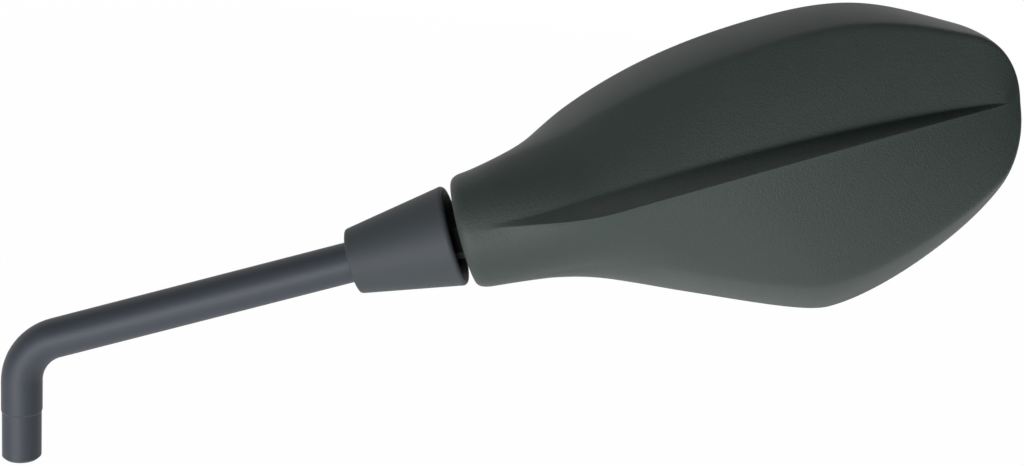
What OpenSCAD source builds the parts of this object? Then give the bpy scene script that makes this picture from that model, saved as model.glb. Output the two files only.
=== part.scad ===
// A left-hand motorcycle mirror: a bent rod stem, a conical boot, a ball joint and a keeled shell
// with its glass. The origin is the centre of the stem's lower end, +Z runs up the leg, +X out
// along the arm and +Y to the rider.

/* [Stem] */
// diameter of the round steel rod
rod_d = 12; // [10:0.5:13]
// diameter of the dressed seat at the lower end, held by the clamp
seat_d = 11.5; // [9.5:0.1:12]
// length of the dressed seat
seat_len = 15; // [8:1:22]
// height of the corner where the leg line and the arm line meet
corner_h = 35.6; // [30:0.2:60]
// radius of the bend on the rod's centre line
bend_r = 15.5; // [12:0.5:20]
// rise of the arm over the horizontal, in degrees
arm_rise = 20; // [10:1:30]
// distance along the arm from the corner to the centre of the ball
arm_len = 148; // [110:1:200]
// chamfer on the rod's lower end
end_chamfer = 0.8; // [0.4:0.1:1.5]

/* [Boot] */
// length of the boot along the arm
boot_len = 31.2; // [26:0.2:40]
// outside diameter of the small end
boot_small_d = 19.6; // [17:0.2:21]
// outside diameter of the wide end
boot_wide_d = 29.6; // [26:0.2:30]
// wall of the boot at its wide end
boot_wall = 2.8; // [1.6:0.1:3]
// open gap between the boot and the neck of the shell
boot_gap = 2.6; // [2.4:0.1:4]

/* [Ball joint] */
// diameter of the steel ball
ball_d = 18; // [17:0.5:19]
// wall of the plastic liners
liner_wall = 2.45; // [2:0.05:2.6]
// running clearance on each spherical face, on the radius
run_gap = 0.05; // [0.02:0.01:0.09]
// distance from the end of the neck to the centre of the ball
neck_in = 10.6; // [9:0.1:11]
// tap size of the thread on the rod's spigot
thread_d = 8; // [6:1:8]
// across flats of the lock nut
nut_af = 13; // [12:0.5:13]
// thickness of the lock nut
nut_h = 5; // [3:0.5:5.5]

/* [Head] */
// turn of the head about the arm in the stored pose, in degrees
head_roll = 12; // [0:1:20]
// outside radius of the neck
neck_r = 16.9; // [16.7:0.1:18]
// depth of the rounding on the outer edge of the neck's open end
neck_round = 1.7; // [0.8:0.1:1.9]
// length of that rounding along the arm
neck_round_len = 3.5; // [1:0.1:5]
// distance from the ball to the tip of the head
tip_u = 153.5; // [150:0.1:160]
// height of the tip over the arm line
tip_v = 0.2; // [-3:0.1:4]
// depth of the glass-side rim behind the arm line
rim_w = 16.5; // [14:0.1:17]
// wall of the shell
wall = 2.4; // [2:0.1:3]

/* [Keel] */
// greatest height of the keel's crest over the arm line
crest_w = 21.5; // [19:0.1:26]
// greatest drop of the dark facet from the crest to the valley above it
facet_drop = 9.2; // [5:0.1:10]
// greatest height of the dark facet as seen from the front
facet_h = 4.3; // [3:0.1:8]
// place of the facet's greatest height, as a part of the keel's length
facet_peak = 0.23; // [0.15:0.01:0.4]
// height of the upper shoulder over the arm line
shoulder_top = 2; // [-2:0.1:6]
// height of the lower shoulder over the arm line
shoulder_low = 6; // [2:0.1:10]
// greatest width of the sloping band above the upper panel
band_top = 9.8; // [7:0.1:11]
// greatest width of the sloping band under the lower panel
band_low = 11; // [8:0.1:12]

/* [Upper edge] */
// distance from the ball to the highest point of the upper edge
top_u = 90.8; // [86:0.1:95]
// height of the upper edge over the arm line
top_v = 39.6; // [36:0.1:44]
// reach of the curve as it leaves the neck
top_lead = 23; // [15:0.5:30]
// reach of the curve before the highest point
top_ease = 63.5; // [50:0.5:66]
// reach of the curve after the highest point
top_round = 24.8; // [18:0.2:28]
// distance from the ball to the upper corner near the tip
top_corner_u = 141; // [136:0.5:143]
// height of the upper corner over the arm line
top_corner_v = 23.8; // [21:0.1:27]
// fall of the edge at the upper corner, in degrees
top_corner_fall = 30.4; // [25:0.1:38]
// reach of the curve before the upper corner
top_corner_in = 19.5; // [12:0.5:22]
// reach of the curve after the upper corner
top_corner_out = 6.2; // [5:0.1:9]
// reach of the tip's curve above the tip
tip_top = 16; // [11:0.1:18]

/* [Lower edge] */
// distance from the ball to the lowest point of the lower edge
low_u = 86.6; // [82:0.1:92]
// depth of the lower edge under the arm line
low_v = 48.5; // [44:0.1:54]
// reach of the curve as it leaves the neck
low_lead = 31.5; // [24:0.5:40]
// reach of the curve before the lowest point
low_ease = 14.2; // [14:0.1:20]
// reach of the curve after the lowest point
low_round = 17.2; // [14:0.2:24]
// distance from the ball to the lower corner near the tip
low_corner_u = 143.1; // [139:0.1:145]
// depth of the lower corner under the arm line
low_corner_v = 26.3; // [23:0.1:29]
// rise of the edge at the lower corner, in degrees
low_corner_rise = 44; // [35:0.1:48]
// reach of the curve before the lower corner
low_corner_in = 13.3; // [9:0.1:18]
// reach of the curve after the lower corner
low_corner_out = 8.5; // [6:0.1:11]
// reach of the tip's curve under the tip
tip_low = 8.2; // [6:0.1:11]

/* [Mirror glass] */
// radius of the convex glass
glass_r = 1200; // [1000:10:1800]
// thickness of the glass
glass_t = 2.2; // [1.8:0.1:3]
// thickness of the foam pad behind the glass
foam_t = 1; // [0.6:0.1:1.5]
// width of the rubber gasket
gasket_w = 0.9; // [0.7:0.1:1.4]
// width of the carrier's lip around the glass
lip_w = 1.4; // [1:0.1:2]
// distance from the ball to the near end of the opening
open_u = 23; // [22:0.5:28]

/* [Hidden] */
$fn = 96;
tiny = 0.01;
slack = 0.05;
ball_r = ball_d / 2;
liner_in = ball_r + run_gap;
liner_out = ball_r + liner_wall;
seat_r = liner_out + run_gap;
neck_u = -neck_in;
boot_u = neck_u - boot_gap;
shank_r = thread_d / 2 + 1;
shank_end_u = -ball_r - 1.4;
spigot_end_u = -0.3 * ball_r;
shoulder_u = shank_end_u - nut_h - slack;
liner_gap = 1.5;
bend_tan = bend_r * tan((90 - arm_rise) / 2);
bend_lap = 0.8;
mouth_u = neck_u + 0.6;
throat_u = -0.61 * seat_r;
throat_r = 0.66 * seat_r;
mouth_flare = 2.5;
mouth_r = throat_r + mouth_flare;
flange_r = neck_r - wall - 0.35;
barrel_r = seat_r + 1.6;
cup_start_u = 0.47 * seat_r;
cup_end_u = seat_r + 1.9;
disc_t = 0.7;
disc_rise = 0.6;
ring_u = cup_end_u + 2 * disc_t + 2 * disc_rise + 4 * tiny;
ring_t = 4.6;
ring_af = 11;
barrel_end = ring_u + ring_t + 0.4;
opening_in = wall + 0.6;
gasket_h = 4.5;
carrier_in = opening_in + gasket_w + 2 * slack;
glass_in = carrier_in + lip_w + 0.1;
glass_y = rim_w - 0.2;
back_y = glass_y - glass_t;
pad_y = back_y - tiny - foam_t;
carrier_y = rim_w - glass_t - foam_t - 3.4;
cup_y = carrier_y - 3.5;
cup_floor = 1.2;
foot_t = 3.5;
foot_y = carrier_y - foot_t - 3.9;
foot_z = neck_r - wall - 0.1;
foot_half = 3.4;
foot_first = 10;
foot_second = 21;
foot_holes = [for (u = [foot_first, foot_second], side = [1, -1]) [barrel_end + u, side * foot_z]];
carrier_holes = [[62, 21], [60, -22], [122, 15], [116, -22]];
screw_r = 1.9;
screw_hole_r = screw_r + 0.3;
bracket_grip = 4.2;
carrier_grip = 6.5;
pilot_more = 0.5;
washer_t = 0.8;
spine_stop = 8;
spine_end_u = tip_u - spine_stop;
tip_band = 0.25 * band_top;
stations = 56;
half_rows = 15;
first_part = 0.55;
second_part = 0.8;
near_round = 14;
near_steps = 9;
far_steps = 34;
dome_u = 88;
dome_v = -4;
dome_r = 96;
dome_deep = 20;
dome_rings = 12;

// Placing: along the arm with the ball at the origin, and in the frame of the turned head.
module on_arm() {
    translate([0, 0, corner_h])
        rotate([0, -arm_rise, 0])
            translate([arm_len, 0, 0])
                children();
}

module in_head() {
    on_arm()
        rotate([-head_roll, 0, 0])
            children();
}

// turns a profile of distance along the arm and radius about the arm line
module round_arm() {
    rotate([0, 90, 0])
        rotate_extrude()
            children();
}

// Stem: leg with its seat, bend, arm and threaded spigot.
module stem() {
    color("#2b2d30") {
        union() {
            rotate_extrude()
                polygon([[0, 0], [seat_d / 2 - end_chamfer, 0], [seat_d / 2, end_chamfer],
                    [seat_d / 2, seat_len], [rod_d / 2, seat_len + 0.6],
                    [rod_d / 2, corner_h - bend_tan], [0, corner_h - bend_tan]]);
            translate([bend_r, 0, corner_h - bend_tan])
                rotate([90, 0, 0])
                    rotate_extrude(angle = 90 - arm_rise + 2 * bend_lap, start = 90 + arm_rise - bend_lap)
                        translate([bend_r, 0])
                            circle(d = rod_d - 0.04);
            on_arm()
                round_arm()
                    polygon([[0, bend_tan - arm_len], [rod_d / 2, bend_tan - arm_len],
                        [rod_d / 2, shoulder_u - 0.8], [rod_d / 2 - 0.8, shoulder_u],
                        [thread_d / 2, shoulder_u], [thread_d / 2, spigot_end_u - 0.8],
                        [thread_d / 2 - 0.8, spigot_end_u], [0, spigot_end_u]]);
        }
    }
}

// Ball with its shank, screwed on the spigot.
module ball() {
    color("#9a9da1") {
        on_arm() {
            difference() {
                union() {
                    sphere(r = ball_r);
                    round_arm()
                        polygon([[0, shank_end_u], [shank_r - 0.3, shank_end_u],
                            [shank_r, shank_end_u + 0.3], [shank_r, -ball_r / 2], [0, -ball_r / 2]]);
                }
                round_arm()
                    polygon([[0, shank_end_u - 1], [thread_d / 2 + slack, shank_end_u - 1],
                        [thread_d / 2 + slack, spigot_end_u + 0.4], [0, 0]]);
            }
        }
    }
}

// Lock nut between the rod's shoulder and the ball's shank.
module lock_nut() {
    color("#b9bcc0") {
        on_arm() {
            difference() {
                translate([shank_end_u - nut_h - slack / 2, 0, 0])
                    rotate([0, 90, 0])
                        cylinder(d = nut_af / cos(30), h = nut_h, $fn = 6);
                translate([shank_end_u - nut_h - 1, 0, 0])
                    rotate([0, 90, 0])
                        cylinder(r = thread_d / 2 + slack, h = nut_h + 2);
            }
        }
    }
}

// Boot: hollow cone pushed on the arm, with a rolled lip at its wide end.
module boot() {
    small_u = boot_u - boot_len;
    small_r = boot_small_d / 2;
    wide_r = boot_wide_d / 2;
    lip_r = boot_wall / 2;
    bore_r = rod_d / 2 + slack;
    color("#1d1f20") {
        on_arm() {
            round_arm()
                union() {
                    polygon([[bore_r, small_u], [small_r - 0.8, small_u], [small_r - 0.25, small_u + 0.22],
                        [small_r, small_u + 0.8], [wide_r, boot_u - lip_r],
                        [wide_r - boot_wall, boot_u - lip_r], [wide_r - boot_wall - 1.2, boot_u - 8],
                        [bore_r + 2.2, small_u + 13], [bore_r, small_u + 12]]);
                    translate([wide_r - lip_r, boot_u - lip_r])
                        circle(r = lip_r);
                }
        }
    }
}

// Liners: one plastic half cup on each side of the ball's equator.
module liner(from_u, to_u, hole_r) {
    intersection() {
        difference() {
            sphere(r = liner_out);
            sphere(r = liner_in);
            translate([-liner_out - 1, 0, 0])
                rotate([0, 90, 0])
                    cylinder(r = hole_r, h = 2 * liner_out + 2);
        }
        translate([from_u, 0, 0])
            rotate([0, 90, 0])
                cylinder(r = liner_out + 1, h = to_u - from_u);
    }
}

module front_liner() {
    color("#e9e6dc")
        on_arm()
            liner(throat_u - 0.4, -liner_gap, shank_r + 1);
}

module rear_liner() {
    color("#e4e0d4")
        on_arm()
            liner(liner_gap, 0.75 * liner_out, shank_r - 2);
}

// Socket bracket: barrel in the neck and two arms screwed to bosses of the shell.
module socket() {
    color("#8e9194") {
        in_head() {
            difference() {
                union() {
                    round_arm()
                        polygon([[0, mouth_u], [flange_r - 0.8, mouth_u], [flange_r, mouth_u + 0.8],
                            [flange_r, mouth_u + 3.4], [barrel_r, mouth_u + 5],
                            [barrel_r, barrel_end], [0, barrel_end]]);
                    for (side = [1, -1])
                        slab(foot_y, foot_y + foot_t)
                            polygon([[barrel_end / 2, side * (foot_z - foot_half - 3)],
                                [foot_holes[3][0] + foot_half + 1, side * (foot_z - foot_half)],
                                [foot_holes[3][0] + foot_half + 1, side * (foot_z + foot_half)],
                                [foot_holes[0][0] - foot_half - 1, side * (foot_z + foot_half)],
                                [barrel_end / 2, side * (foot_z + 1)]]);
                }
                round_arm() {
                    intersection() {
                        circle(r = seat_r);
                        translate([0, throat_u - 1])
                            square([seat_r + 1, 1 - throat_u]);
                    }
                    translate([0, -tiny])
                        square([seat_r, barrel_end + 1 + tiny]);
                    polygon([[0, mouth_u - 0.6], [mouth_r, mouth_u - 0.6], [throat_r, throat_u], [0, throat_u]]);
                }
                for (p = foot_holes)
                    stud(p, foot_y - 1, screw_hole_r, foot_t + 2);
            }
        }
    }
}

// Dust seal: rubber ring on the socket's mouth, the dark ring inside the open gap.
module dust_seal() {
    color("#111111")
        in_head()
            round_arm()
                polygon([[mouth_r + 0.6, mouth_u - 1.1], [mouth_r + 2.2, mouth_u - 1.1],
                    [mouth_r + 2.2, mouth_u - tiny], [mouth_r + 0.6, mouth_u - tiny]]);
}

// Pressure cup, disc springs and the ring that loads them.
module pressure_cup() {
    color("#a7a9ab")
        in_head()
            difference() {
                translate([cup_start_u, 0, 0])
                    rotate([0, 90, 0])
                        cylinder(r = seat_r - 0.15, h = cup_end_u - cup_start_u);
                sphere(r = seat_r);
                rotate([0, 90, 0])
                    cylinder(r = shank_r - 1, h = cup_end_u + 1);
            }
}

module disc_springs() {
    near = cup_end_u + tiny;
    outer = seat_r - 0.9;
    inner = shank_r + 0.2;
    profile = [[outer, near], [outer, near + disc_t],
        [inner, near + disc_t + disc_rise], [inner, near + disc_rise]];
    color("#77797c")
        in_head()
            round_arm() {
                polygon(profile);
                translate([0, 2 * near + 2 * disc_t + 2 * disc_rise + tiny])
                    mirror([0, 1])
                        polygon(profile);
            }
}

module adjuster_ring() {
    color("#b3b5b8")
        in_head()
            difference() {
                translate([ring_u, 0, 0])
                    rotate([0, 90, 0])
                        cylinder(r = seat_r - slack, h = ring_t);
                translate([ring_u - 1, 0, 0])
                    rotate([0, 90, 0])
                        cylinder(r = ring_af / 2 / cos(30), h = ring_t + 2, $fn = 6);
            }
}

// a plain round bar that points to the rider, from a depth
module stud(p, from_y, r, h) {
    translate([p[0], from_y, p[1]])
        rotate([-90, 0, 0])
            cylinder(r = r, h = h);
}

// one self-tapping screw, its head's seat at the origin and its shank along -y
module pan_screw(length) {
    head_r = 1.9 * screw_r;
    head_h = 1.2 * screw_r;
    rotate([-90, 0, 0])
        difference() {
            union() {
                rotate_extrude()
                    polygon([[0, 0], [head_r, 0], [head_r, 0.52 * head_h],
                        [0.8 * head_r, 0.92 * head_h], [0, head_h]]);
                rotate_extrude()
                    polygon([[0, -length], [0.37 * screw_r, -length], [screw_r, 0.84 * screw_r - length],
                        [screw_r, 0], [0, 0]]);
            }
            translate([0, 0, head_h / 2])
                cylinder(r = 0.9 * screw_r, h = head_h, $fn = 6);
        }
}

// Screws and washers that hold the bracket's arms to the bosses.
module bracket_screws() {
    head_y = foot_y + foot_t + washer_t + 2 * tiny;
    color("#9fa2a6")
        in_head()
            for (p = foot_holes)
                translate([p[0], head_y, p[1]])
                    pan_screw(head_y - foot_y + bracket_grip);
}

module bracket_washers() {
    color("#c2c4c6")
        in_head()
            for (p = foot_holes)
                difference() {
                    stud(p, foot_y + foot_t + tiny, 2.2 * screw_r, washer_t);
                    stud(p, foot_y + foot_t - 1, screw_r + 0.25, washer_t + 2);
                }
}

// Outline of the head, in the plane of the arm: u along the arm line, v across it, upwards.
// Each edge is three smooth curves: neck to farthest point, on to the corner, on to the tip.
// The value t runs from the neck (0) to the tip (1).
function mix(a, b, f) = a + (b - a) * f;
function clamp01(f) = min(1, max(0, f));
function ease(f) = clamp01(f) * clamp01(f) * (3 - 2 * clamp01(f));
function curve4(a, b, c, d, f) =
    pow(1 - f, 3) * a + 3 * pow(1 - f, 2) * f * b + 3 * (1 - f) * f * f * c + pow(f, 3) * d;
function top_edge(t) =
    let (far = [top_u, top_v], corner = [top_corner_u, top_corner_v],
        fall = [cos(top_corner_fall), -sin(top_corner_fall)])
    t < first_part
        ? curve4([neck_u, neck_r], [neck_u + top_lead, neck_r], far - [top_ease, 0], far, t / first_part)
        : t < second_part
            ? curve4(far, far + [top_round, 0], corner - top_corner_in * fall, corner,
                (t - first_part) / (second_part - first_part))
            : curve4(corner, corner + top_corner_out * fall, [tip_u, tip_v + tip_top], [tip_u, tip_v],
                (t - second_part) / (1 - second_part));
function low_edge(t) =
    let (far = [low_u, -low_v], corner = [low_corner_u, -low_corner_v],
        rise = [cos(low_corner_rise), sin(low_corner_rise)])
    t < first_part
        ? curve4([neck_u, -neck_r], [neck_u + low_lead, -neck_r], far - [low_ease, 0], far, t / first_part)
        : t < second_part
            ? curve4(far, far + [low_round, 0], corner - low_corner_in * rise, corner,
                (t - first_part) / (second_part - first_part))
            : curve4(corner, corner + low_corner_out * rise, [tip_u, tip_v - tip_low], [tip_u, tip_v],
                (t - second_part) / (1 - second_part));
function edge(side, t) = side > 0 ? top_edge(t) : low_edge(t);

// the same edge moved inwards by a distance, square to itself
function edge_in(side, t, inset) =
    let (a = edge(side, max(0, t - 0.004)), b = edge(side, min(1, t + 0.004)), d = (b - a) / norm(b - a))
    edge(side, t) + side * inset * [d[1], -d[0]];

// the t at which an edge passes a given u, found by halving
function t_at(side, u, lo = 0, hi = 1, n = 18) =
    n == 0 ? (lo + hi) / 2
        : edge(side, (lo + hi) / 2)[0] < u ? t_at(side, u, (lo + hi) / 2, hi, n - 1)
            : t_at(side, u, lo, (lo + hi) / 2, n - 1);

// closed outline of the opening and of all that fills it, with a rounded near end
function near_pt(side, a, inset) =
    let (u = open_u + inset - opening_in + near_round * (1 - cos(a)),
        p = edge_in(side, t_at(side, u), inset), g = sin(a))
    [mix(u, p[0], g), mix(1.5, p[1], g)];
function far_pt(side, f, inset) =
    edge_in(side, mix(t_at(side, open_u + inset - opening_in + near_round), 1, f), inset);
function fill_outline(inset) = concat(
    [for (i = [1 : near_steps]) near_pt(1, 90 * i / near_steps, inset)],
    [for (i = [1 : far_steps]) far_pt(1, 1 - pow(1 - i / far_steps, 1.25), inset)],
    [for (i = [far_steps - 1 : -1 : 1]) far_pt(-1, 1 - pow(1 - i / far_steps, 1.25), inset)],
    [for (i = [near_steps : -1 : 0]) near_pt(-1, 90 * i / near_steps, inset)]);

// Back of the head. A section runs from the keel's crest over the facet, the panel, the shoulder
// and the sloping band to the rim, and is blended into a circle towards the neck.
// The value x runs along the keel, from the neck (0) to its end (1).
function facet_part(x) =
    x < facet_peak ? 1 - pow(1 - clamp01(x / facet_peak), 1.3)
        : 1 - pow(clamp01((x - facet_peak) / (1 - facet_peak)), 2.05);
function drop_part(x) = x < 0.5 ? 1 - pow(1 - 2 * x, 1.5) : 1 - pow(2 * x - 1, 3);
function crest_height(x) =
    x < 0.3 ? mix(neck_r, crest_w, sin(300 * x)) : mix(crest_w, 3, pow((x - 0.3) / 0.7, 2.2));
function crest_side(x) = curve4(-6, -4.3, -2.2, -2.9, x);
function band_width(side, x) =
    side > 0 ? max(tip_band, band_top * (1 - 3.4 * pow(x - 0.53, 2))) : mix(band_low, tip_band, pow(x, 3));
// how far the neck's end is rounded in, at a distance from its end
function end_round(d) =
    d < neck_round_len ? neck_round * (1 - sqrt(1 - pow((neck_round_len - d) / neck_round_len, 2))) : 0;
ring_angles = [0, 2, 4, 18, 33, 48, 60, 70, 84, 96, 108, 120, 128, 145, 162, 180];
function row_point(side, t, row, inset) =
    let (top = edge(1, t), low = edge(-1, t), out = side > 0 ? top : low,
        last_u = spine_end_u - 0.4 * inset,
        spine_u = mix(neck_u, last_u, (mix(top[0], low[0], 0.5) - neck_u) / (tip_u - neck_u)),
        x = clamp01((spine_u - neck_u) / (last_u - neck_u)),
        crest = [spine_u, crest_side(x), crest_height(x) - inset],
        reach = norm([out[0] - spine_u, out[1] - crest[1]]),
        band = min(0.72 * reach, band_width(side, x) + 0.6 * inset),
        rim = [mix(out[0], spine_u, inset / reach), mix(out[1], crest[1], inset / reach), 1 - rim_w + inset],
        shoulder = [mix(out[0], spine_u, band / reach), mix(out[1], crest[1], band / reach),
            mix(side > 0 ? shoulder_top : shoulder_low, 0, pow(x, 3)) - 0.9 * inset],
        fold = side > 0 ? [0, facet_h * facet_part(x), -facet_drop * drop_part(x)] : [0, 0, 0],
        valley = mix(crest, shoulder, 0.05) + fold,
        knee = [mix(rim[0], shoulder[0], 0.42), mix(rim[1], shoulder[1], 0.42), mix(rim[2], shoulder[2], 0.62)],
        bulge = (side > 0 ? 2.2 : 1.5) * (1 - x * x),
        q = (row - 7) / 4,
        leaf = row <= 2 ? mix(crest, shoulder, 0.025 * row) + fold * row / 2
            : row <= 7 ? mix(valley, shoulder, (row - 2) / 5) + [0, 0, bulge * 4 * (row - 2) * (7 - row) / 25]
            : row <= 11 ? pow(1 - q, 2) * shoulder + 2 * q * (1 - q) * knee + q * q * rim
            : mix([mix(rim[0], spine_u, 0.03), rim[1] * 0.97, inset - rim_w],
                [spine_u, 0, inset - rim_w], (row - 12) / 3),
        a = ring_angles[row],
        less = inset > 0 ? inset : end_round(spine_u - neck_u),
        ring = [mix(spine_u, out[0], sin(a)), (abs(out[1]) - less) * side * sin(a), (neck_r - less) * cos(a)])
    mix(ring, leaf, ease((spine_u - neck_u - 3) / 42));

// the places of the sections: close together where the neck's end is rounded
first_places = [0, 0.002, 0.007];
function place(j) = j < 3 ? first_places[j] : mix(0.0145, 1, (j - 3) / (stations - 3));

// pushes a point of the inside out to where it clears the socket's barrel, and opens the neck
function clear_barrel(p, j) =
    let (need = mix(barrel_r + 0.7, 0, clamp01((p[0] - barrel_end - 3) / 6)), r = norm([p[1], p[2]]),
        grow = max(1, need / max(r, 1)))
    [j == 0 ? neck_u - 1 : p[0], p[1] * grow, p[2] * grow];

// closed solid of the head's back, made smaller all round by the inset
module head_solid(inset) {
    n = 2 * half_rows;
    pts = [for (j = [0 : stations], i = [0 : n - 1])
        let (t = place(j),
            q = i <= half_rows ? row_point(1, t, i, inset) : row_point(-1, t, n - i, inset),
            p = inset > 1 ? clear_barrel(q, j) : q)
        [p[0], -p[2], p[1]]];
    // at the tip the lower rows are the upper rows
    last = stations * n;
    cell = [for (j = [0 : stations - 1], i = [0 : n - 1])
        let (k = (i + 1) % n, a = j * n + i, b = j * n + k,
            c = j < stations - 1 ? a + n : last + (i <= half_rows ? i : n - i),
            d = j < stations - 1 ? b + n : last + (k <= half_rows ? k : n - k))
        [[a, b, c], [b, d, c]]];
    tris = [for (q = cell, f = q) if (f[0] != f[1] && f[1] != f[2] && f[0] != f[2]) f];
    polyhedron(points = pts, faces = concat(tris, [[for (i = [n - 1 : -1 : 0]) i]]));
}

// lays an outline of the head's plane down between two depths on the rider's side
module slab(from_y, to_y) {
    rotate([90, 0, 0])
        translate([0, 0, -to_y])
            linear_extrude(to_y - from_y)
                children();
}

// Shell: one moulding with the neck, the keel, the rim and eight bosses.
module boss(p, top_y) {
    hull() {
        translate([p[0], top_y - tiny, p[1]])
            rotate([-90, 0, 0])
                cylinder(r = screw_r + 1.7, h = tiny, $fn = 32);
        translate([p[0], -crest_w - 2.5, p[1]])
            rotate([-90, 0, 0])
                cylinder(r = screw_r + 2.3, h = tiny, $fn = 32);
    }
}

module shell() {
    color("#3b4240") {
        in_head() {
            difference() {
                union() {
                    difference() {
                        head_solid(0);
                        head_solid(wall);
                        slab(rim_w - wall - 1, rim_w + 1)
                            polygon(fill_outline(opening_in));
                    }
                    intersection() {
                        head_solid(0.5);
                        union() {
                            for (p = foot_holes)
                                boss(p, foot_y - slack);
                            for (p = carrier_holes)
                                boss(p, cup_y - slack);
                        }
                    }
                }
                for (p = foot_holes)
                    stud(p, foot_y - bracket_grip - pilot_more, screw_r + slack, 12, $fn = 32);
                for (p = carrier_holes)
                    stud(p, cup_y - carrier_grip - pilot_more, screw_r + slack, 12, $fn = 32);
            }
        }
    }
}

// Gasket: rubber ring between the shell's rim and the carrier.
module gasket() {
    color("#151515")
        in_head()
            slab(rim_w - gasket_h, rim_w + 0.3)
                difference() {
                    polygon(fill_outline(opening_in + slack));
                    polygon(fill_outline(opening_in + slack + gasket_w));
                }
}

// a dome of large radius, its top at the given depth; all behind it is solid
module dome(radius, top_y) {
    translate([dome_u, top_y, dome_v])
        rotate([-90, 0, 0])
            rotate_extrude()
                polygon(concat([[0, -dome_deep]],
                    [for (i = [0 : dome_rings])
                        let (r = dome_r * i / dome_rings) [r, sqrt(radius * radius - r * r) - radius]],
                    [[dome_r, -dome_deep]]));
}

// Carrier: dished plate with a lip round the glass and four screw cups.
module carrier() {
    color("#26282a") {
        in_head() {
            difference() {
                union() {
                    slab(rim_w - gasket_h, rim_w)
                        polygon(fill_outline(carrier_in));
                    slab(carrier_y, rim_w - gasket_h + tiny)
                        polygon(fill_outline(carrier_in + 1));
                    for (p = carrier_holes)
                        stud(p, cup_y, 2.95 * screw_r, carrier_y + 1 - cup_y);
                }
                difference() {
                    slab(carrier_y - 1, rim_w + 1)
                        polygon(fill_outline(glass_in - 0.1));
                    dome(glass_r - glass_t - foam_t - 2 * tiny, pad_y - tiny);
                }
                for (p = carrier_holes) {
                    stud(p, cup_y + cup_floor, 2.3 * screw_r, rim_w);
                    stud(p, cup_y - 1, screw_hole_r, rim_w);
                }
            }
        }
    }
}

module carrier_screws() {
    head_y = cup_y + cup_floor + tiny;
    color("#9fa2a6")
        in_head()
            for (p = carrier_holes)
                translate([p[0], head_y, p[1]])
                    pan_screw(head_y - cup_y + carrier_grip);
}

module foam_pad() {
    color("#4a4a4a")
        in_head()
            difference() {
                intersection() {
                    slab(0, rim_w)
                        polygon(fill_outline(glass_in + 2));
                    dome(glass_r - glass_t - tiny, back_y - tiny);
                }
                dome(glass_r - glass_t - foam_t, pad_y);
            }
}

module mirror_glass() {
    color("#cfd8dc")
        in_head()
            difference() {
                intersection() {
                    slab(0, rim_w + 1)
                        polygon(fill_outline(glass_in));
                    dome(glass_r, glass_y);
                }
                dome(glass_r - glass_t, back_y);
            }
}

stem();
ball();
lock_nut();
boot();
front_liner();
rear_liner();
socket();
dust_seal();
pressure_cup();
disc_springs();
adjuster_ring();
bracket_screws();
bracket_washers();
shell();
gasket();
carrier();
carrier_screws();
foam_pad();
mirror_glass();
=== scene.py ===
# The looks of a motorcycle mirror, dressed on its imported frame. Metres, in the frame's own axes.
import math

import bpy
import numpy as np
from mathutils import Matrix, Vector
from mathutils.geometry import delaunay_2d_cdt


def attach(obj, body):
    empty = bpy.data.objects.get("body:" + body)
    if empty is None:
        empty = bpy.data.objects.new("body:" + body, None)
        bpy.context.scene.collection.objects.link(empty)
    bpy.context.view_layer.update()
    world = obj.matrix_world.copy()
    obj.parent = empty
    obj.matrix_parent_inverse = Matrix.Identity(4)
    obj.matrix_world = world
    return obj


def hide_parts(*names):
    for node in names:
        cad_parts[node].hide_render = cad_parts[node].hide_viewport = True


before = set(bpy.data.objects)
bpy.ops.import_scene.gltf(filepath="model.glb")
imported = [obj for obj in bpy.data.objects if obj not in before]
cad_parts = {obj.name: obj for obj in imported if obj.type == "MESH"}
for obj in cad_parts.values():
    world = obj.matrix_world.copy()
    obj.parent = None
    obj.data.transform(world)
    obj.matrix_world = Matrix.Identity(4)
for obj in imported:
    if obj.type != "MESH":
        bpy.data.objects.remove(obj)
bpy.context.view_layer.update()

scene = bpy.context.scene
MM = 0.001


def linear(hex_colour):
    """A hex sRGB colour as linear red, green, blue and alpha."""
    out = []
    for i in (1, 3, 5):
        c = int(hex_colour[i:i + 2], 16) / 255.0
        out.append(c / 12.92 if c <= 0.04045 else ((c + 0.055) / 1.055) ** 2.4)
    return (*out, 1.0)


# Camera: 15 degrees down on the arm's plane, a normal lens, rolled so that the leg stands upright.
IMAGE_W = 1024
FOCAL_PX = 1500.0
SENSOR_MM = 36.0
CAM_AT = Vector((142.73, -420.34, 196.52)) * MM
CAM_PITCH = math.radians(15.0)
CAM_ROLL = math.radians(5.02)


def make_camera():
    """The camera at the photograph's viewing angle; gives its three axes."""
    ahead = Vector((0, math.cos(CAM_PITCH), -math.sin(CAM_PITCH)))
    up0 = Vector((0, math.sin(CAM_PITCH), math.cos(CAM_PITCH)))
    side0 = Vector((1, 0, 0))
    side = side0 * math.cos(CAM_ROLL) + up0 * math.sin(CAM_ROLL)
    up = up0 * math.cos(CAM_ROLL) - side0 * math.sin(CAM_ROLL)
    data = bpy.data.cameras.new("camera")
    data.sensor_fit = "HORIZONTAL"
    data.sensor_width = SENSOR_MM
    data.lens = FOCAL_PX / IMAGE_W * SENSOR_MM
    data.clip_start = 0.01
    data.clip_end = 20.0
    cam = bpy.data.objects.new("camera", data)
    scene.collection.objects.link(cam)
    turn = Matrix((side, up, -ahead)).transposed()
    cam.matrix_world = Matrix.Translation(CAM_AT) @ turn.to_4x4()
    scene.camera = cam
    return ahead, side, up


AHEAD, SIDE, UP = make_camera()


def add(tree, kind, place=(0, 0), settings=None, **inputs):
    """Adds a node, sets its properties, and fills or links its inputs by name or as i0, i1."""
    node = tree.nodes.new(kind)
    node.location = place
    for key, value in (settings or {}).items():
        setattr(node, key, value)
    for key, value in inputs.items():
        by_number = key[0] == "i" and key[1:].isdigit()
        socket = node.inputs[int(key[1:])] if by_number else node.inputs[key.replace("_", " ")]
        if isinstance(value, bpy.types.NodeSocket):
            tree.links.new(value, socket)
        else:
            socket.default_value = value
    return node


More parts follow.
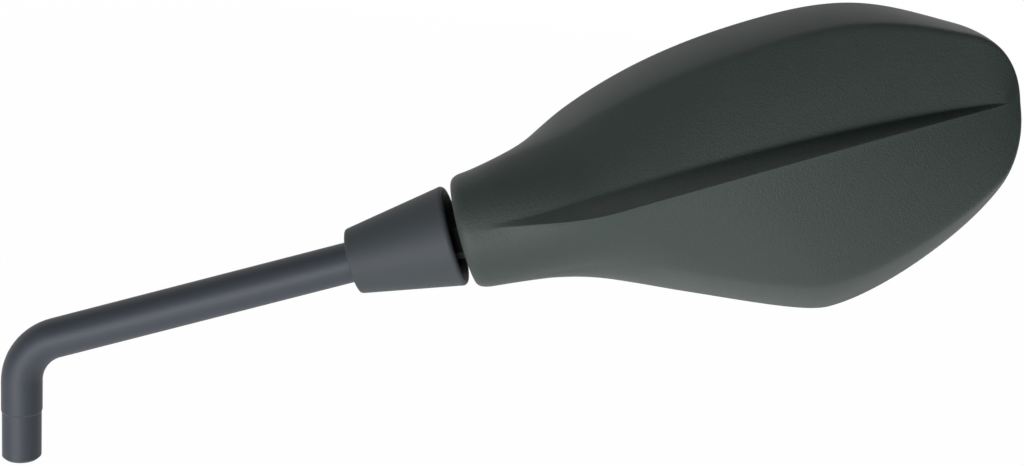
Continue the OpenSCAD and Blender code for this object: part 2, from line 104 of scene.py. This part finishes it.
def blank(name):
    """A new material with only its output node."""
    mat = bpy.data.materials.new(name)
    mat.use_nodes = True
    tree = mat.node_tree
    tree.nodes.clear()
    return mat, tree, tree.nodes.new("ShaderNodeOutputMaterial")


# Width of the mottle's patches, how far it moves the roughness, and the depth of the grain.
MOTTLE_MM = 12.0
MOTTLE_ROUGH = 0.04
GRAIN_DEPTH_MM = 0.12


def solid(name, colour, rough, metal=0.0, spec=0.5, grain=0.0, grain_mm=0.5, mottle=0.0):
    """A surface of one colour. The grain is a fine bump whose cells are grain_mm wide; the mottle
    is a slow change of roughness and lightness over MOTTLE_MM."""
    mat, tree, out = blank(name)
    place = add(tree, "ShaderNodeTexCoord", (-900, 0)).outputs["Object"]
    bsdf = add(tree, "ShaderNodeBsdfPrincipled", (0, 0), Base_Color=linear(colour), Roughness=rough,
               Metallic=metal, Specular_IOR_Level=spec)
    if mottle:
        slow = add(tree, "ShaderNodeTexNoise", (-700, 200), Vector=place,
                   Scale=1 / (MOTTLE_MM * MM), Detail=3.0)
        shade = add(tree, "ShaderNodeMapRange", (-500, 200), Value=slow.outputs["Fac"],
                    To_Min=1 - mottle, To_Max=1 + mottle)
        tint = add(tree, "ShaderNodeVectorMath", (-250, 200), {"operation": "SCALE"},
                   i0=linear(colour)[:3])
        tree.links.new(shade.outputs[0], tint.inputs["Scale"])
        tree.links.new(tint.outputs[0], bsdf.inputs["Base Color"])
        dull = add(tree, "ShaderNodeMapRange", (-500, -50), Value=slow.outputs["Fac"],
                   To_Min=rough - MOTTLE_ROUGH, To_Max=rough + MOTTLE_ROUGH)
        tree.links.new(dull.outputs[0], bsdf.inputs["Roughness"])
    if grain:
        cells = add(tree, "ShaderNodeTexNoise", (-700, -300), Vector=place,
                    Scale=1 / (grain_mm * MM), Detail=2.0)
        bump = add(tree, "ShaderNodeBump", (-250, -300), Height=cells.outputs["Fac"],
                   Strength=grain, Distance=GRAIN_DEPTH_MM * MM)
        tree.links.new(bump.outputs[0], bsdf.inputs["Normal"])
    tree.links.new(bsdf.outputs[0], out.inputs[0])
    return mat


# Moulded plastic with a spark-eroded grain: a matt, faintly green black with a fine speckle. The
# grain is drawn coarser than the real one, so that it shows.
SHELL_PLASTIC = solid("grained_black_plastic", "#404b45", 0.56, grain=1.0, grain_mm=0.6,
                      mottle=0.03)
# Satin black paint on the steel rod: one soft bluish light along it.
ROD_PAINT = solid("satin_black_paint", "#464c52", 0.52, spec=0.42, grain=0.08, grain_mm=1.2)
# The boot as it leaves its mould: a little lighter and smoother than the shell.
BOOT_RUBBER = solid("moulded_black_boot", "#4b5153", 0.6, spec=0.38, grain=0.15, grain_mm=0.6)
# Bright zinc on screws, washers and springs: pale, slightly dull metal.
ZINC = solid("zinc_plated_steel", "#a9abae", 0.35, metal=1.0)
# Ground and polished steel of the ball: a clear, darker metal.
BALL_STEEL = solid("polished_ball_steel", "#9c9ea1", 0.18, metal=1.0)
# Blackened steel of the nut and the pressure cup: almost no shine.
DARK_STEEL = solid("black_oxide_steel", "#1a1b1c", 0.55, metal=1.0)
# Turned acetal of the liners: waxy black.
ACETAL = solid("black_acetal", "#18191a", 0.35)
# Die-cast alloy of the bracket: dull grey with a coarse skin.
CAST_ALLOY = solid("cast_alloy", "#46484a", 0.55, metal=1.0, grain=0.3, grain_mm=0.8)
# Soft rubber of the seal and the gasket: dead black.
RUBBER = solid("soft_black_rubber", "#121313", 0.75, spec=0.3)
# Moulded plastic of the glass carrier: plain dark grey.
CARRIER = solid("carrier_plastic", "#202224", 0.5, grain=0.2, grain_mm=0.4)
# Closed-cell foam behind the glass: rough grey without shine.
FOAM = solid("grey_foam", "#3b3b3c", 0.95, spec=0.1, grain=0.8, grain_mm=0.6)
# Silvered glass: a sharp reflection with a faint blue.
MIRROR = solid("silvered_glass", "#dfe6e8", 0.0, metal=1.0)

# The pieces that aren't zinc-plated.
MATS = {
    "stem": ROD_PAINT, "boot": BOOT_RUBBER, "shell": SHELL_PLASTIC, "ball": BALL_STEEL,
    "lock_nut": DARK_STEEL, "front_liner": ACETAL, "rear_liner": ACETAL, "socket": CAST_ALLOY,
    "dust_seal": RUBBER, "gasket": RUBBER, "carrier": CARRIER, "foam_pad": FOAM,
    "mirror_glass": MIRROR, "pressure_cup": DARK_STEEL,
}
for name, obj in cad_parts.items():
    obj.data.materials.clear()
    obj.data.materials.append(MATS.get(name, ZINC))


# Sizes of the head in millimetres, the values that shape its solids. Two differ: SPINE_END lies
# 0.6 mm nearer to the tip, and only this script has GROUND_EDGE. A pair with the keys 1 and -1 is
# for the upper and the lower side.
NECK_IN, NECK_R, NECK_ROUND, ROUND_LEN, TIP = 10.6, 16.9, 1.7, 3.5, (153.5, 0.2)
RIM_W, WALL, CREST_W = 16.5, 2.4, 21.5
FACET_DROP, FACET_H, FACET_PEAK = 9.2, 4.3, 0.23
SHOULDER = {1: 2.0, -1: 6.0}
BULGE = {1: 2.2, -1: 1.5}
FAR = {1: (90.8, 39.6), -1: (86.6, -48.5)}
REACH = {1: (23.0, 63.5, 24.8, 16.0), -1: (31.5, 14.2, 17.2, -8.2)}
CORNER = {1: (141.0, 23.8, -30.4, 19.5, 6.2), -1: (143.1, -26.3, 44.0, 13.3, 8.5)}
BAND, TIP_BAND = {1: 9.8, -1: 11.0}, 2.45
FIRST, SECOND = 0.55, 0.8
SPINE_END = TIP[0] - 7.4
RING_ANGLES = [0, 2, 4, 18, 33, 48, 60, 70, 84, 96, 108, 120, 128, 145, 162, 180]
OPEN_U, OPEN_V, OPENING_IN, NEAR_TURN = 23.0, 1.5, 3.0, 14.0
GLASS_IN, GLASS_T, GLASS_R, GLASS_SUNK, GROUND_EDGE = 5.5, 2.2, 1200.0, 0.2, 0.35
# Where along the head the keel is highest and the upper band widest, as parts of its length, the
# keel's height at the tip, and how fast the band narrows.
CREST_AT, TIP_CREST_W, BAND_AT, BAND_FALL = 0.3, 3.0, 0.53, 3.4
# Parts of the way from crest to shoulder, from rim to shoulder (across and in depth), and inwards.
FACET_IN, KNEE_ACROSS, KNEE_DEPTH, LIP_IN = 0.05, 0.42, 0.62, 0.03
# The round neck turns into the leaf over this length; from REAR_FLAT_U on the rear is flat.
BLEND_FROM, BLEND_LEN, REAR_FLAT_U, NECK_PARTS = 3.0, 42.0, 42.0, 96
ARM_RISE, HEAD_ROLL, CORNER_H, ARM_LEN = math.radians(20.0), math.radians(12.0), 35.6, 148.0


def mix(a, b, f):
    """From a to b by the part f."""
    return a + (b - a) * f


def cubic(a, b, c, d, f):
    """A point of the cubic curve with end points a, d and handles b, c."""
    return (1 - f) ** 3 * a + 3 * (1 - f) ** 2 * f * b + 3 * (1 - f) * f * f * c + f ** 3 * d


def edge(side, t):
    """Upper (1) or lower (-1) edge of the head at t, as u along the arm and v across it: three
    cubic curves, from the neck to the farthest point, on to the corner and on to the tip."""
    lead, slow, turn, nose = REACH[side]
    cu, cv, slope, before, after = CORNER[side]
    ends = ((-NECK_IN, side * NECK_R), FAR[side], (cu, cv), TIP)
    neck, far, corner, tip = (np.array(p) for p in ends)
    way = np.array([math.cos(math.radians(slope)), math.sin(math.radians(slope))])
    if t < FIRST:
        return cubic(neck, neck + [lead, 0], far - [slow, 0], far, t / FIRST)
    if t < SECOND:
        part = (t - FIRST) / (SECOND - FIRST)
        return cubic(far, far + [turn, 0], corner - before * way, corner, part)
    return cubic(corner, corner + after * way, tip + [0, nose], tip, (t - SECOND) / (1 - SECOND))


def section(side, t, rows, inset=0.0):
    """Points of the head's skin at one t. Rows run from the keel's crest (0) over the facet (2),
    the panel (7), the sloping band (11) and the lip (12) to the middle of the rear (15); towards
    the neck they are blended into a circle. Columns: u, v and w, w towards the viewer, in mm."""
    rows = np.asarray(rows, float)[:, None]
    top, low = edge(1, t), edge(-1, t)
    out = top if side > 0 else low
    last_u = SPINE_END - 0.4 * inset
    spine = mix(-NECK_IN, last_u, (0.5 * (top[0] + low[0]) + NECK_IN) / (TIP[0] + NECK_IN))
    x = min(1.0, max(0.0, (spine + NECK_IN) / (last_u + NECK_IN)))
    if x < FACET_PEAK:
        wide = 1 - (1 - x / FACET_PEAK) ** 1.3
    else:
        wide = 1 - ((x - FACET_PEAK) / (1 - FACET_PEAK)) ** 2.05
    deep = 1 - (1 - 2 * x) ** 1.5 if x < 0.5 else 1 - (2 * x - 1) ** 3
    if x < CREST_AT:
        high = mix(NECK_R, CREST_W, math.sin(math.radians(90 / CREST_AT * x)))
    else:
        high = mix(CREST_W, TIP_CREST_W, ((x - CREST_AT) / (1 - CREST_AT)) ** 2.2)
    crest = np.array([spine, cubic(-6.0, -4.3, -2.2, -2.9, x), high - inset])
    reach = math.hypot(out[0] - spine, out[1] - crest[1])
    if side > 0:
        band = max(TIP_BAND, BAND[1] * (1 - BAND_FALL * (x - BAND_AT) ** 2))
    else:
        band = mix(BAND[-1], TIP_BAND, x ** 3)
    band = min(0.72 * reach, band + 0.6 * inset)
    rim = np.array([mix(out[0], spine, inset / reach), mix(out[1], crest[1], inset / reach),
                    1 - RIM_W + inset])
    shoulder = np.array([mix(out[0], spine, band / reach), mix(out[1], crest[1], band / reach),
                         mix(SHOULDER[side], 0.0, x ** 3) - 0.9 * inset])
    fold = np.array([0, FACET_H * wide, -FACET_DROP * deep]) * (side > 0)
    valley = mix(crest, shoulder, FACET_IN) + fold
    knee = mix(rim, shoulder, np.array([KNEE_ACROSS, KNEE_ACROSS, KNEE_DEPTH]))
    bulge = BULGE[side] * (1 - x * x) * np.array([0, 0, 1.0])
    q = (rows - 7) / 4
    lip = np.array([mix(rim[0], spine, LIP_IN), rim[1] * (1 - LIP_IN), inset - RIM_W])
    leaf = np.select(
        [rows <= 2, rows <= 7, rows <= 11, rows <= 12],
        [mix(crest, shoulder, FACET_IN / 2 * rows) + fold * rows / 2,
         mix(valley, shoulder, (rows - 2) / 5) + bulge * 4 * (rows - 2) * (7 - rows) / 25,
         (1 - q) ** 2 * shoulder + 2 * q * (1 - q) * knee + q * q * rim,
         mix(rim, lip, rows - 11)],
        mix(lip, np.array([spine, 0, inset - RIM_W]), (rows - 12) / 3))
    gone = spine + NECK_IN
    less = inset or NECK_ROUND * (1 - math.sqrt(1 - max(0.0, 1 - gone / ROUND_LEN) ** 2))
    a = np.radians(np.interp(rows[:, 0], range(len(RING_ANGLES)), RING_ANGLES))
    ring = np.stack([mix(spine, out[0], np.sin(a)), (abs(out[1]) - less) * side * np.sin(a),
                     (NECK_R - less) * np.cos(a)], 1)
    f = min(1.0, max(0.0, (gone - BLEND_FROM) / BLEND_LEN))
    return mix(ring, leaf, f * f * (3 - 2 * f))


def to_frame(uvw):
    """Points of the head's own axes (u, v, w in mm) in the frame, in metres."""
    u, v, w = (np.asarray(uvw, float)[:, i] for i in range(3))
    y, z = -w, v
    y, z = (y * math.cos(HEAD_ROLL) + z * math.sin(HEAD_ROLL),
            -y * math.sin(HEAD_ROLL) + z * math.cos(HEAD_ROLL))
    x = u + ARM_LEN
    return np.stack([x * math.cos(ARM_RISE) - z * math.sin(ARM_RISE), y,
                     x * math.sin(ARM_RISE) + z * math.cos(ARM_RISE) + CORNER_H], 1) * MM


def mesh_object(name, points, faces, material):
    """A smooth object at the origin from points in metres and faces."""
    mesh = bpy.data.meshes.new(name)
    mesh.from_pydata([tuple(p) for p in points], [], [tuple(int(i) for i in f) for f in faces])
    mesh.validate()
    mesh.polygons.foreach_set("use_smooth", [True] * len(mesh.polygons))
    mesh.materials.append(material)
    mesh.update()
    obj = bpy.data.objects.new(name, mesh)
    scene.collection.objects.link(obj)
    return obj


def edge_in(side, t, inset):
    """The edge moved inwards, square to itself."""
    a, b = edge(side, max(0.0, t - 0.004)), edge(side, min(1.0, t + 0.004))
    d = (b - a) / np.linalg.norm(b - a)
    return edge(side, t) + side * inset * np.array([d[1], -d[0]])


def t_at(side, u):
    """The t at which an edge passes a given u, by halving."""
    lo, hi = 0.0, 1.0
    for _ in range(24):
        mid = 0.5 * (lo + hi)
        lo, hi = (mid, hi) if edge(side, mid)[0] < u else (lo, mid)
    return 0.5 * (lo + hi)


def fill_outline(inset, far=70):
    """Closed outline of the opening and of what fills it, from the near end over the upper edge to
    the tip and back under it. It is the edge moved inwards, and near the neck a quarter wave closes
    it. Its points crowd towards the tip."""
    start = OPEN_U + inset - OPENING_IN
    near = 14

    def near_point(side, a):
        u = start + NEAR_TURN * (1 - math.cos(a))
        p = edge_in(side, t_at(side, u), inset)
        g = math.sin(a)
        return [mix(u, p[0], g), mix(OPEN_V, p[1], g)]

    def far_point(side, i):
        t = mix(t_at(side, start + NEAR_TURN), 1.0, 1 - (1 - i / far) ** 1.25)
        return list(edge_in(side, t, inset))

    quarter = 0.5 * math.pi / near
    return np.array([near_point(1, quarter * i) for i in range(1, near + 1)]
                    + [far_point(1, i) for i in range(1, far + 1)]
                    + [far_point(-1, i) for i in range(far - 1, 0, -1)]
                    + [near_point(-1, quarter * i) for i in range(near, -1, -1)])


def soften(grid, weight, passes):
    """Rounds the section lines: each pass moves a point towards the middle of its neighbours in
    its own section by its weight."""
    for _ in range(passes):
        between = 0.5 * (grid[:, :-2] + grid[:, 2:])
        grid[:, 1:-1] += weight[:, 1:-1, None] * (between - grid[:, 1:-1])
    return grid


def grid_faces(rows, columns, first=0):
    """Quads of a grid of points stored row by row."""
    a = first + np.arange(rows - 1)[:, None] * columns + np.arange(columns - 1)[None, :]
    return np.stack([a, a + 1, a + columns + 1, a + columns], -1).reshape(-1, 4)


def ring_faces(rings, count, first=0):
    """Quads between closed rings of points, each ring of the same count and stored one by one."""
    a = first + np.arange(rings - 1)[:, None] * count + np.arange(count)[None, :]
    b = np.roll(a, -1, axis=1)
    return np.stack([a, b, b + count, a + count], -1).reshape(-1, 4)


def inside(poly, pts):
    """Which points lie inside a closed outline, by counting crossings."""
    x, y = pts[:, 0], pts[:, 1]
    hit = np.zeros(len(pts), bool)
    for (ax, ay), (bx, by) in zip(poly, np.roll(poly, -1, axis=0)):
        cross = (ay > y) != (by > y)
        hit ^= cross & (x < (bx - ax) * (y - ay) / (by - ay + 1e-12) + ax)
    return hit


def around(t, rows, inset=0.0):
    """One whole section of the skin, from the upper lip over the crest to the lower lip."""
    return np.vstack([section(1, t, rows, inset)[::-1], section(-1, t, rows, inset)[1:]])


def make_shell():
    """The shell: its skin as a grid of sections with softened creases, its rear land round the
    opening, the inside one wall below, and the end of the neck."""
    near_stations = [0, 0.0005, 0.0012, 0.0022, 0.0036, 0.0054, 0.0078, 0.011]
    stations = np.concatenate([near_stations, np.linspace(0.0145, 1, 186)])
    skin_rows = np.concatenate([np.linspace(0, 2, 21), np.linspace(2, 7, 56)[1:],
                                np.linspace(7, 11, 38)[1:], np.linspace(11, 12, 5)[1:]])
    grid = np.array([around(t, skin_rows) for t in stations])

    # creases: the valley of the facet, the shoulders, the rim, and the crest up to near the tip
    row_of = np.concatenate([skin_rows[::-1], -skin_rows[1:]])
    crest_fade = np.clip((1 - stations) / 0.1, 0, 1)[:, None]
    weight = (0.16 * np.exp(-((row_of - 2) / 0.5) ** 2)
              + 0.55 * np.exp(-((np.abs(row_of) - 7) / 0.55) ** 2)
              + 0.1 * np.exp(-((np.abs(row_of) - 11.2) / 0.3) ** 2))[None, :]
    weight = weight + 0.4 * np.exp(-(row_of / 0.35) ** 2)[None, :] * crest_fade
    grid = soften(grid, np.clip(weight, 0, 0.8), 12)
    # both sides meet at the tip, so the last station's lower half repeats its upper half
    n_side = len(skin_rows)
    grid[-1, n_side:] = grid[-1, n_side - 2::-1]
    j, n = grid.shape[:2]
    points = [grid.reshape(-1, 3)]
    faces = list(grid_faces(j, n))

    # rear: from the lips to the opening, following the skin's own rear rows near the neck
    loop = np.vstack([grid[:, 0], grid[::-1, -1]])
    opening = fill_outline(OPENING_IN)
    rear_rows = np.linspace(12, 15, 10)
    near_t = [t for t in stations if edge(1, t)[0] < REAR_FLAT_U + 2][::3]
    sheet = np.vstack([section(s, t, rear_rows[1:] if s > 0 else rear_rows[1:-1])
                       for s in (1, -1) for t in near_t])
    dense = np.vstack([section(s, t, np.linspace(12, 15, 60))
                       for s in (1, -1) for t in np.linspace(0, 0.6, 240)])

    def rear_w(uv):
        """Height of the rear surface at u, v, from the nearest of many of its points."""
        nearest = np.argmin(((dense[None, :, :2] - uv[:, None]) ** 2).sum(-1), axis=1)
        return np.where(uv[:, 0] < REAR_FLAT_U, dense[nearest, 2], -RIM_W)

    # only points outside the opening, not too near to it, and not on the neck's end itself
    outside = ~inside(opening, sheet[:, :2])
    apart = np.sqrt(((sheet[:, None, :2] - opening[None]) ** 2).sum(-1)).min(1) > 0.6
    past_end = sheet[:, 0] > -NECK_IN + 0.01
    sheet = sheet[outside & apart & past_end]
    flat = np.vstack([loop[:, :2], opening, sheet[:, :2]])
    heights = np.concatenate([loop[:, 2], rear_w(opening), sheet[:, 2]])
    n_loop, n_open = len(loop), len(opening)
    edges = [(i, (i + 1) % n_loop) for i in range(n_loop)]
    edges += [(n_loop + i, n_loop + (i + 1) % n_open) for i in range(n_open)]
    done = delaunay_2d_cdt([Vector(p) for p in flat], edges, [], 0, 1e-5)
    flat_out = np.array([tuple(p) for p in done[0]])
    source = [o[0] if o else 0 for o in done[3]]
    tri = np.array([f for f in done[2] if len(f) == 3])
    middle = flat_out[tri].mean(1)
    tri = tri[inside(flat[:n_loop], middle) & ~inside(opening, middle)]
    land = np.c_[flat_out, heights[source]]
    base = sum(len(p) for p in points)
    points.append(land)
    faces += list(base + tri)
    # the land's inner face and the wall of the opening
    base_in = base + len(land)
    points.append(land + [0, 0, WALL])
    faces += list(base_in + tri[:, ::-1])
    index = {s: k for k, s in enumerate(source)}
    ring = np.array([index[n_loop + i] for i in range(n_open) if n_loop + i in index])
    after = np.roll(ring, -1)
    faces += list(np.stack([base + ring, base + after, base_in + after, base_in + ring], -1))

    # inside of the skin, one wall below, and the flat end of the neck
    inner_t = np.append(stations[::3], 1.0)
    in_rows = np.linspace(0, 12, 40)
    inner = np.array([around(t, in_rows, WALL) for t in inner_t])
    base_skin = sum(len(p) for p in points)
    points.append(inner.reshape(-1, 3))
    faces += list(grid_faces(*inner.shape[:2], first=base_skin)[:, ::-1])
    turn = np.radians(np.linspace(0, 360, NECK_PARTS + 1)[:-1])
    base_end = sum(len(p) for p in points)
    bore = NECK_R - WALL
    ends = ((NECK_R - NECK_ROUND, -NECK_IN), (bore, -NECK_IN), (bore, -NECK_IN + 5))
    points += [np.stack([np.full(NECK_PARTS, u), r * np.sin(turn), r * np.cos(turn)], 1)
               for r, u in ends]
    faces += list(ring_faces(len(ends), NECK_PARTS, base_end))
    return mesh_object("shell_skin", to_frame(np.vstack(points)), faces, SHELL_PLASTIC)


shell = make_shell()
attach(shell, "head")
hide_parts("shell")


DOME_MIDDLE = np.array([88.0, -4.0])
RINGS_MIDDLE = np.array([80.0, -4.0])


def dome_w(uv, top):
    """Height of the convex glass: a sphere of large radius about the middle of the opening."""
    r2 = ((uv - DOME_MIDDLE) ** 2).sum(1)
    return -(top + np.sqrt(GLASS_R ** 2 - r2) - GLASS_R)


def make_glass():
    """The convex glass: rings of the outline drawn in to its middle, a ground edge and a back."""
    rim = fill_outline(GLASS_IN, far=60)
    top = RIM_W - GLASS_SUNK
    rings = [mix(RINGS_MIDDLE, rim, s) for s in np.linspace(0.04, 0.985, 30)]
    points = [np.c_[r, dome_w(r, top)] for r in rings]
    points += [np.c_[rim, dome_w(rim, top) + drop] for drop in (GROUND_EDGE, GLASS_T)]
    n = len(rim)
    # the quads face the other way round, and each still starts at the same corner
    faces = list(ring_faces(len(points), n)[:, [0, 3, 2, 1]])
    faces.append(np.arange(n))
    faces.append((len(points) - 1) * n + np.arange(n)[::-1])
    return mesh_object("convex_glass", to_frame(np.vstack(points)), faces, MIRROR)


glass = make_glass()
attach(glass, "head")
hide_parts("mirror_glass")


# The point that the lamp looks at and the flag stands round.
MIDDLE = Vector((150, 0, 85)) * MM
# What the surround gives as light, beside the 1.0 that it shows, and the floor's share of glow.
SURROUND_LIGHT = 0.6
FLOOR_GLOW = 0.985
# The flag's distance, and how far it reaches round from the camera's own direction.
FLAG_RADIUS = 1.6
FLAG_REACH = math.radians(96)
FLOOR_HALF = 4.0
FLOOR_Z = -0.35


def seen(tree):
    """1 for rays from the camera, from a reflection or through glass, and 0 for others."""
    path = add(tree, "ShaderNodeLightPath", (-900, 0)).outputs
    larger = {"operation": "MAXIMUM"}
    either = add(tree, "ShaderNodeMath", (-700, 0), larger, i0=path["Is Camera Ray"],
                 i1=path["Is Glossy Ray"])
    return add(tree, "ShaderNodeMath", (-500, 0), larger, i0=either.outputs[0],
               i1=path["Is Transmission Ray"]).outputs[0]


def make_world():
    """A plain surround, white to the camera and in reflections, which lights the object from behind
    and around it a little less."""
    world = bpy.data.worlds.new("world")
    scene.world = world
    world.use_nodes = True
    tree = world.node_tree
    back = tree.nodes["Background"]
    back.inputs["Color"].default_value = linear("#ffffff")
    level = add(tree, "ShaderNodeMapRange", (-300, 0), Value=seen(tree),
                To_Min=SURROUND_LIGHT, To_Max=1.0)
    tree.links.new(level.outputs[0], back.inputs["Strength"])


def make_flag():
    """A matt black half dome on the camera's side, as flags stand round a studio set: the surround
    reaches the object only from behind and around it. Neither the camera nor the mirror glass,
    whose reflection is sharp, sees the dome itself."""
    mat, tree, out = blank("black_cloth")
    path = add(tree, "ShaderNodeLightPath", (-500, 200))
    cloth = add(tree, "ShaderNodeBsdfDiffuse", (-500, -200), Color=linear("#0c0c0c"))
    clear = add(tree, "ShaderNodeBsdfTransparent", (-500, -400))
    either = add(tree, "ShaderNodeMixShader", (-200, 0), i0=path.outputs["Is Singular Ray"],
                 i1=cloth.outputs[0], i2=clear.outputs[0])
    tree.links.new(either.outputs[0], out.inputs[0])
    # rings of a sphere round the middle point, from the camera's direction outwards
    rings, parts = 13, 40
    ahead, side, up = (np.array(axis) for axis in (AHEAD, SIDE, UP))
    tilt = np.linspace(0, FLAG_REACH, rings)[:, None, None]
    turn = 2 * math.pi * np.arange(parts)[None, :, None] / parts
    way = -ahead * np.cos(tilt) + (side * np.cos(turn) + up * np.sin(turn)) * np.sin(tilt)
    points = (np.array(MIDDLE) + FLAG_RADIUS * way).reshape(-1, 3)
    flag = mesh_object("flag", points, ring_faces(rings, parts), mat)
    flag.visible_camera = False


make_world()
make_flag()


def area_light(name, direction, distance, size, power, colour):
    """A square lamp that looks at the object's middle from the given direction."""
    data = bpy.data.lights.new(name, "AREA")
    data.size = size
    data.energy = power
    data.color = linear(colour)[:3]
    lamp = bpy.data.objects.new(name, data)
    scene.collection.objects.link(lamp)
    lamp.location = MIDDLE + direction.normalized() * distance
    lamp.rotation_euler = (MIDDLE - lamp.location).to_track_quat("-Z", "Y").to_euler()


# The soft key stands low and to the left. The facet above the keel's crest faces up, so it gets
# little of that light and stays the darkest face.
area_light("key", -AHEAD - 0.62 * UP - 0.45 * SIDE, 1.1, 0.9, 16.5, "#faf9ff")


def make_floor():
    """A pale floor well under the held mirror."""
    mesh = bpy.data.meshes.new("floor")
    corners = [(x * FLOOR_HALF, y * FLOOR_HALF, FLOOR_Z)
               for x, y in ((-1, -1), (1, -1), (1, 1), (-1, 1))]
    mesh.from_pydata(corners, [], [(0, 1, 2, 3)])
    floor = bpy.data.objects.new("floor", mesh)
    scene.collection.objects.link(floor)
    mat, tree, out = blank("pale_floor")
    bsdf = add(tree, "ShaderNodeBsdfDiffuse", Color=linear("#f8f8f8"))
    glow = add(tree, "ShaderNodeEmission", Color=linear("#ffffff"), Strength=1.0)
    part = add(tree, "ShaderNodeMath", (-300, 0), {"operation": "MULTIPLY"}, i0=seen(tree),
               i1=FLOOR_GLOW)
    blend = add(tree, "ShaderNodeMixShader", i0=part.outputs[0], i1=bsdf.outputs[0],
                i2=glow.outputs[0])
    tree.links.new(blend.outputs[0], out.inputs[0])
    mesh.materials.append(mat)


make_floor()
scene.view_settings.view_transform = "Standard"
